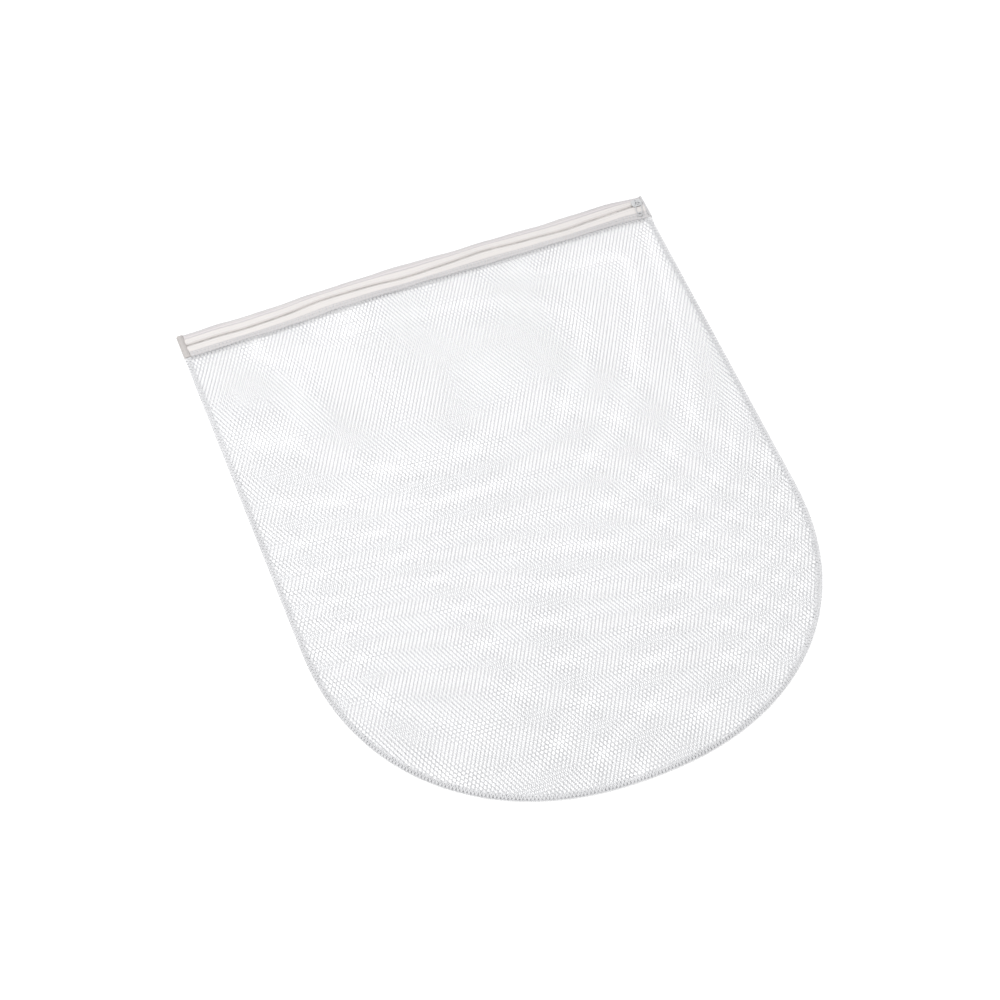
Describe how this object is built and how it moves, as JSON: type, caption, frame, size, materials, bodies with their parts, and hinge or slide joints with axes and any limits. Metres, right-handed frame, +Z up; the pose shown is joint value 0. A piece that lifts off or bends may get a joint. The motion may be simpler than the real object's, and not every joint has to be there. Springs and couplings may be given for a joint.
{
  "type": "mesh laundry bag",
  "caption": "Flat D-shaped net bag for washing garments, with a coil zip along its straight end and an overlocked border.",
  "frame": {"origin": "centre of the bag's outline on the surface it lies on", "axes": "+Y towards the zip end, +X along the zip towards its closed end, +Z up from the surface"},
  "size_m": [0.4, 0.49, 0.0083],
  "materials": {
    "net": "white knitted polyester net, slightly glossy yarn",
    "zip_tape": "warm white woven polyester tape, matt",
    "zip_coil": "off-white nylon monofilament",
    "thread": "white textured polyester overlock thread",
    "tack_thread": "dense greyed thread of the end tacks",
    "slider": "white enamel on die-cast metal"
  },
  "bodies": {
    "bag": {"front_mesh_panel": "net", "back_mesh_panel": "net", "front_zip_tape": "zip_tape", "back_zip_tape": "zip_tape", "front_zip_coil": "zip_coil", "back_zip_coil": "zip_coil", "front_coil_filler_cord": "thread", "back_coil_filler_cord": "thread", "front_coil_stitching": "thread", "back_coil_stitching": "thread", "back_tape_stitching_outer": "thread", "back_tape_stitching_inner": "thread", "front_tape_overlock": "thread", "top_edge_binding_thread": "thread", "edge_overlock_upper_thread": "thread", "edge_overlock_lower_thread": "thread", "edge_needle_thread": "thread", "left_end_tack": "tack_thread", "right_end_tack": "thread"},
    "slider": {"slider_body": "slider"},
    "pull": {"slider_pull": "slider"}
  },
  "joints": [
    {"name": "slider_travel", "type": "slide", "parent": "bag", "child": "slider", "axis": [-1, 0, 0], "range_m": [0, 0.38]},
    {"name": "pull_swing", "type": "hinge", "parent": "slider", "child": "pull", "pos_m": [0.1938, 0.23375, 0.00675], "axis": [-0.9781, 0.2079, 0], "range_deg": [0, 184]}
  ]
}
